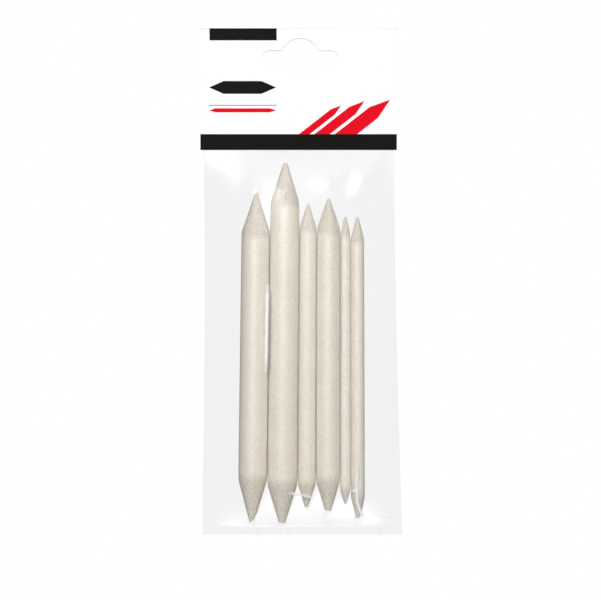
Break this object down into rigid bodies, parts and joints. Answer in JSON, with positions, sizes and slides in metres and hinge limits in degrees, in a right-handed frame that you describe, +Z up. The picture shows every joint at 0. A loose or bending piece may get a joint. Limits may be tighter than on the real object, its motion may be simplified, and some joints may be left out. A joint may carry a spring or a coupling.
{
  "type": "blending stump set",
  "caption": "Hang pack of double-ended rolled-paper blending stumps in graded sizes, in a clear film bag closed by a folded header card with a hang slot.",
  "frame": {"origin": "centre of the hang slot, in the middle plane of the pack", "axes": "+Z up along the pack as it hangs, +X to the right seen from the front, front faces -Y"},
  "size_m": [0.0848, 0.013, 0.2128],
  "materials": {
    "header_card": "coated white board with plain black and red printed areas, satin",
    "glue": "dried translucent glue, dull",
    "clear_film": "thin clear polypropylene film, glossy, softly creased",
    "stump_paper": "tightly rolled soft grey paper, matte, fibrous, sanded at the points"
  },
  "bodies": {
    "pack": {"film_bag": "clear_film", "header_back_leaf": "header_card", "glue_strip_back": "glue", "glue_strip_front": "glue"},
    "header_front": {"header_front_leaf": "header_card"},
    "stump_size_5": {"stump_size_5": "stump_paper"},
    "stump_size_6": {"stump_size_6": "stump_paper"},
    "stump_size_3": {"stump_size_3": "stump_paper"},
    "stump_size_4": {"stump_size_4": "stump_paper"},
    "stump_size_1": {"stump_size_1": "stump_paper"},
    "stump_size_2": {"stump_size_2": "stump_paper"}
  },
  "joints": [
    {"name": "header_front_fold", "type": "hinge", "parent": "pack", "child": "header_front", "pos_m": [-0.0007, 0, 0.0123], "axis": [-1, 0, 0], "range_deg": [0, 170]},
    {"name": "stump_size_5_slide", "type": "slide", "parent": "pack", "child": "stump_size_5", "axis": [0.0131, 0, 0.9999], "range_m": [-0.0006, 0.016]},
    {"name": "stump_size_6_slide", "type": "slide", "parent": "pack", "child": "stump_size_6", "axis": [0.0099, 0, 1], "range_m": [-0.0004, 0.0035]},
    {"name": "stump_size_3_slide", "type": "slide", "parent": "pack", "child": "stump_size_3", "axis": [0.0052, 0, 1], "range_m": [-0.0068, 0.0205]},
    {"name": "stump_size_4_slide", "type": "slide", "parent": "pack", "child": "stump_size_4", "axis": [0.0017, 0, 1], "range_m": [-0.0054, 0.0185]},
    {"name": "stump_size_1_slide", "type": "slide", "parent": "pack", "child": "stump_size_1", "axis": [0.0005, 0, 1], "range_m": [-0.0083, 0.026]},
    {"name": "stump_size_2_slide", "type": "slide", "parent": "pack", "child": "stump_size_2", "axis": [-0.0026, 0, 1], "range_m": [-0.0024, 0.0265]}
  ]
}
